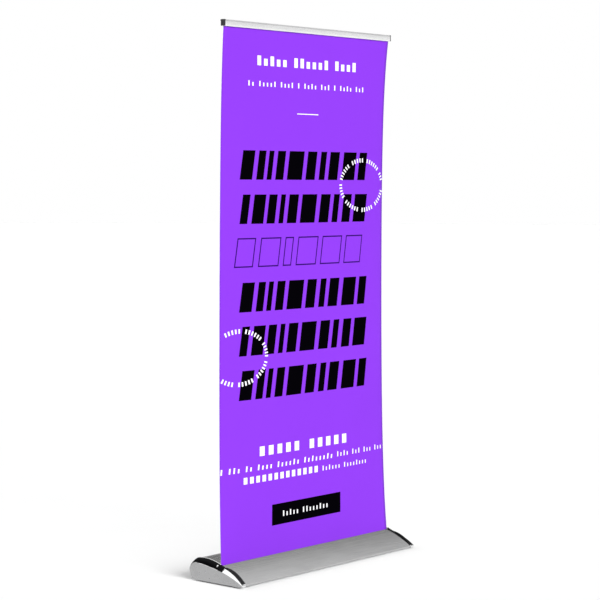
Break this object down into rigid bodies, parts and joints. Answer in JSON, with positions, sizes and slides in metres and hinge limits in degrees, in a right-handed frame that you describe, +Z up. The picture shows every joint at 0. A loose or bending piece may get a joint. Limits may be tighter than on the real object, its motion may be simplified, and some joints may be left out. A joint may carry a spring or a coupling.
{
  "type": "roll-up banner stand",
  "caption": "Free-standing roll-up banner stand: a teardrop aluminium housing with a spring roller, a full-height printed film panel, a snap-open top rail and a sectional rear pole.",
  "frame": {"origin": "on the floor under the middle of the housing, at the centre of the whole stand's footprint", "axes": "+Z up along the panel, +X along the housing to the right as seen from the printed front, the printed front faces -Y"},
  "size_m": [1.044, 0.2649, 2.0906],
  "materials": {
    "satin_aluminium": "satin anodised, fine lengthwise extrusion grain",
    "rail_aluminium": "bright satin anodised",
    "chrome_plated": "polished chrome plate on a die casting",
    "black_gloss": "piano black",
    "black_plastic": "fine moulded texture",
    "rubber": "moulded",
    "zinc_steel": "bright zinc plate",
    "printed_film": null,
    "nylon": "natural moulded nylon",
    "elastic_cord": "braided sleeve"
  },
  "bodies": {
    "base": {"axle_plate_left": "zinc_steel", "axle_plate_right": "zinc_steel", "cap_screw_left": "zinc_steel", "cap_screw_right": "zinc_steel", "end_cap_left": "chrome_plated", "end_cap_right": "chrome_plated", "end_trim_left": "black_gloss", "end_trim_right": "black_gloss", "foot_nut_front_left": "zinc_steel", "foot_nut_front_right": "zinc_steel", "foot_nut_rear_left": "zinc_steel", "foot_nut_rear_right": "zinc_steel", "graphic_panel": "printed_film", "housing": "satin_aluminium", "plate_screw_left_1": "zinc_steel", "plate_screw_left_2": "zinc_steel", "plate_screw_left_3": "zinc_steel", "plate_screw_right_1": "zinc_steel", "plate_screw_right_2": "zinc_steel", "plate_screw_right_3": "zinc_steel", "pole_socket": "black_plastic", "roller_bush_left": "nylon", "roller_bush_right": "nylon", "spring_collar": "nylon", "spring_spindle": "zinc_steel", "torsion_spring": "zinc_steel", "trim_stud_left": "chrome_plated", "trim_stud_right": "chrome_plated"},
    "roller": {"roller_tube": "satin_aluminium", "leader_film_roll": "printed_film", "roller_plug_left": "nylon", "roller_plug_right": "nylon", "idler_pin": "zinc_steel"},
    "rail": {"rail_spine": "rail_aluminium", "rail_cap_left": "black_plastic", "rail_cap_right": "black_plastic"},
    "rail_cover": {"rail_snap_cover": "rail_aluminium"},
    "pole": {"pole_lower": "satin_aluminium", "pole_middle": "satin_aluminium", "pole_upper": "satin_aluminium", "pole_ferrule_lower": "zinc_steel", "pole_ferrule_upper": "zinc_steel", "pole_foot_plug": "black_plastic", "pole_shock_cord": "elastic_cord", "pole_head": "black_plastic"},
    "foot_front_left": {"foot_pad_front_left": "rubber", "foot_stud_front_left": "zinc_steel"},
    "foot_front_right": {"foot_pad_front_right": "rubber", "foot_stud_front_right": "zinc_steel"},
    "foot_rear_left": {"foot_pad_rear_left": "rubber", "foot_stud_rear_left": "zinc_steel"},
    "foot_rear_right": {"foot_pad_rear_right": "rubber", "foot_stud_rear_right": "zinc_steel"}
  },
  "joints": [
    {"name": "rail_travel", "type": "slide", "parent": "base", "child": "rail", "axis": [0, 0, -1], "range_m": [0, 1.987], "deforming": ["graphic_panel"]},
    {"name": "roller_turn", "type": "hinge", "parent": "base", "child": "roller", "pos_m": [0, -0.0251, 0.034], "axis": [-1, 0, 0], "continuous": true},
    {"name": "rail_cover_open", "type": "hinge", "parent": "rail", "child": "rail_cover", "pos_m": [0, -0.0185, 2.0856], "axis": [-1, 0, 0], "range_deg": [0, 75]},
    {"name": "pole_turn", "type": "hinge", "parent": "base", "child": "pole", "pos_m": [0, 0.017, 0], "axis": [0, 0, 1], "continuous": true},
    {"name": "foot_front_left_height", "type": "slide", "parent": "base", "child": "foot_front_left", "axis": [0, 0, -1], "range_m": [0, 0.008]},
    {"name": "foot_front_right_height", "type": "slide", "parent": "base", "child": "foot_front_right", "axis": [0, 0, -1], "range_m": [0, 0.008]},
    {"name": "foot_rear_left_height", "type": "slide", "parent": "base", "child": "foot_rear_left", "axis": [0, 0, -1], "range_m": [0, 0.008]},
    {"name": "foot_rear_right_height", "type": "slide", "parent": "base", "child": "foot_rear_right", "axis": [0, 0, -1], "range_m": [0, 0.008]}
  ],
  "couplings": [
    {"joint": "roller_turn", "follows": "rail_travel", "rad_per_m": 54}
  ]
}
